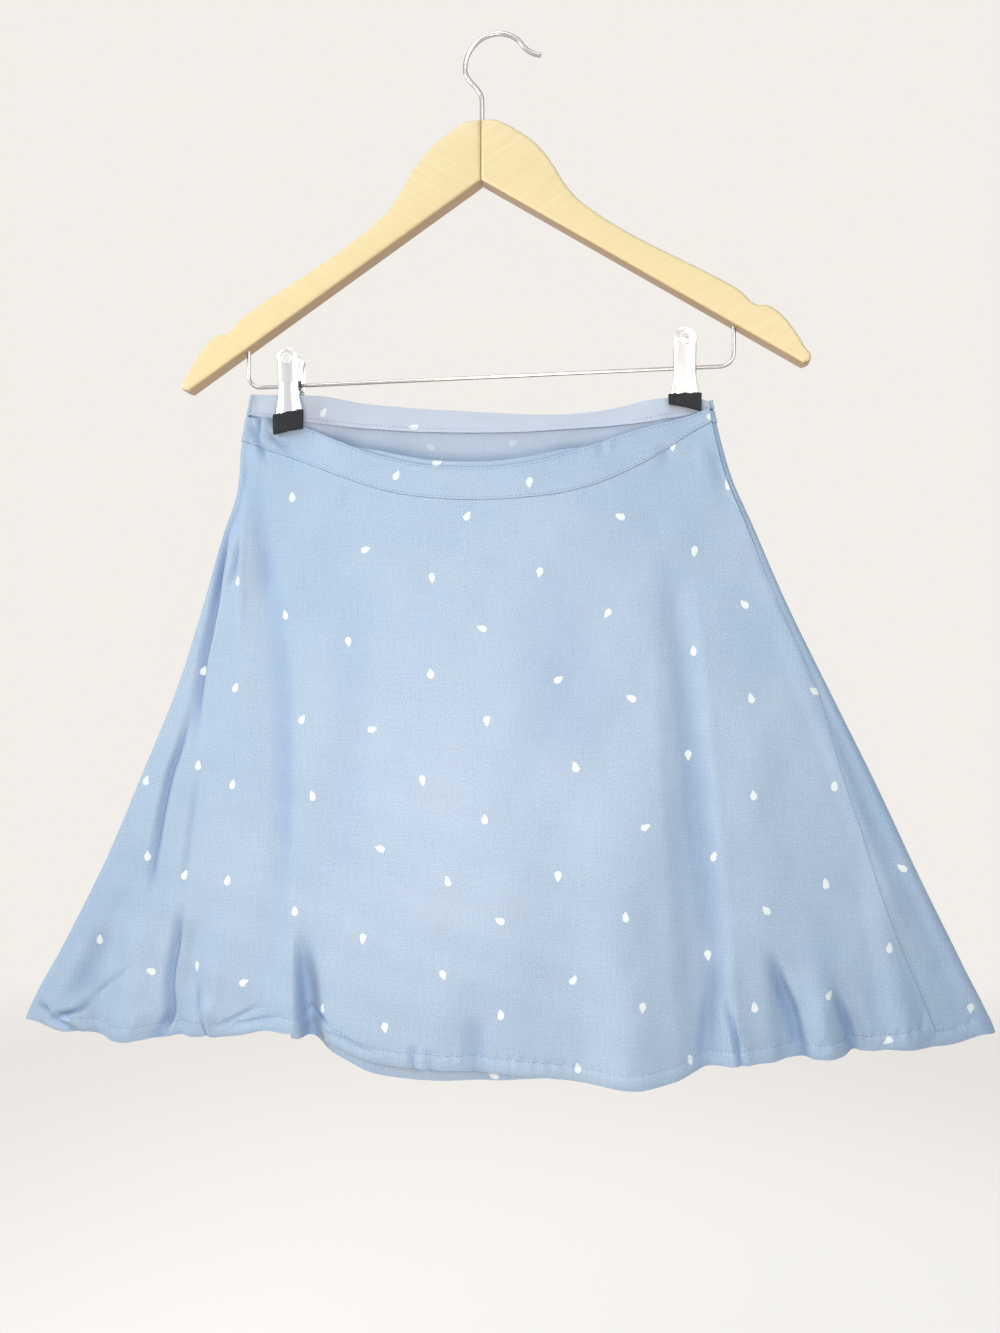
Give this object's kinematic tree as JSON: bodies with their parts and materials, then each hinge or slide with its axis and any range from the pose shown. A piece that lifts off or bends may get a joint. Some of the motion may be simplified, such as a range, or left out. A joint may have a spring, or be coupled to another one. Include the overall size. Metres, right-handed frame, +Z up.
{
  "type": "wrap skirt on a wooden clip hanger",
  "caption": "Short A-line wrap skirt with a waistband and a flared, softly fluted hem, hanging by two spring clips from a wooden hanger with a wire hook and bar.",
  "frame": {"origin": "the underside of the hook's crown, where the hanger hangs from a rod or wall hook", "axes": "+X to the viewer's right along the hanger, +Y to the back, +Z up; the skirt's front faces -Y"},
  "size_m": [0.6783, 0.0822, 0.7252],
  "materials": {
    "cloth": "soft light blue woven viscose with a scattered white drop print",
    "wood": "pale, satin lacquered",
    "steel": "bright plated",
    "rubber": "matte black"
  },
  "bodies": {
    "root": {"waistband_over": "cloth", "waistband_under": "cloth", "waistband_back": "cloth", "over_flap": "cloth", "under_flap": "cloth", "back_panel": "cloth", "hanger_arm_left": "wood", "hanger_arm_right": "wood", "hook": "steel", "bar": "steel", "clip_left_jaw_front": "steel", "clip_left_jaw_back": "steel", "clip_left_cap_front": "rubber", "clip_left_cap_back": "rubber", "clip_left_spring": "steel", "clip_right_jaw_front": "steel", "clip_right_jaw_back": "steel", "clip_right_cap_front": "rubber", "clip_right_cap_back": "rubber", "clip_right_spring": "steel"}
  },
  "joints": []
}
